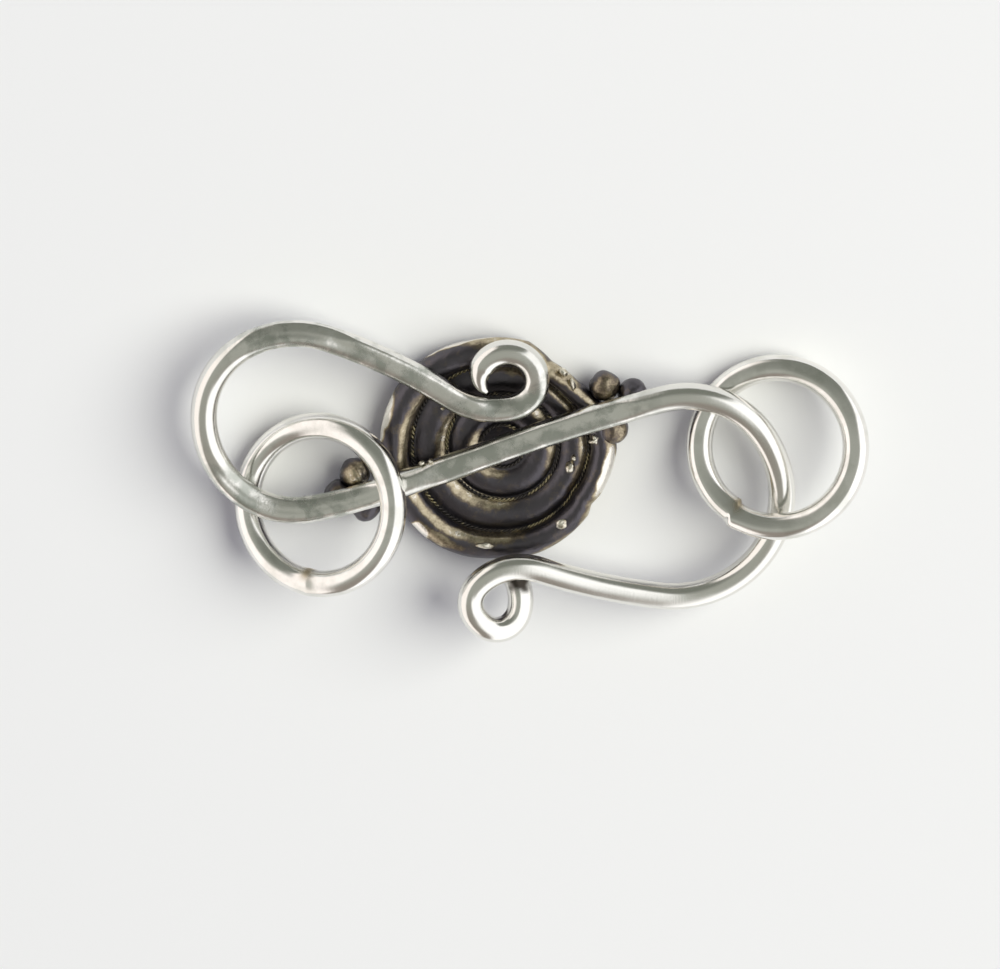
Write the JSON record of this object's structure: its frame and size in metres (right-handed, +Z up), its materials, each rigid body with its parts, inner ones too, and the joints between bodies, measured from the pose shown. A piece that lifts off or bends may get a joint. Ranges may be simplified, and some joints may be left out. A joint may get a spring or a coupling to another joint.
{
  "type": "s-hook clasp",
  "caption": "Silver S-hook clasp: a wire hook with curled ends, soldered across a ribbed round dish with granules, and a closed ring threaded on each loop.",
  "frame": {"origin": "middle of the clasp's box, on the surface that it rests on", "axes": "+X along the clasp towards the right ring, +Y towards the upper curl, +Z up, away from the surface and towards the hook wire's side"},
  "size_m": [0.0316, 0.0154, 0.0044],
  "materials": {
    "hook_silver": "sterling silver wire, hammered a little and tumbled bright, its disc and granules oxidised dark",
    "ring_silver": "sterling silver wire, soldered closed and polished"
  },
  "bodies": {
    "root": {"s_hook": "hook_silver", "left_ring": "ring_silver", "right_ring": "ring_silver"}
  },
  "joints": []
}
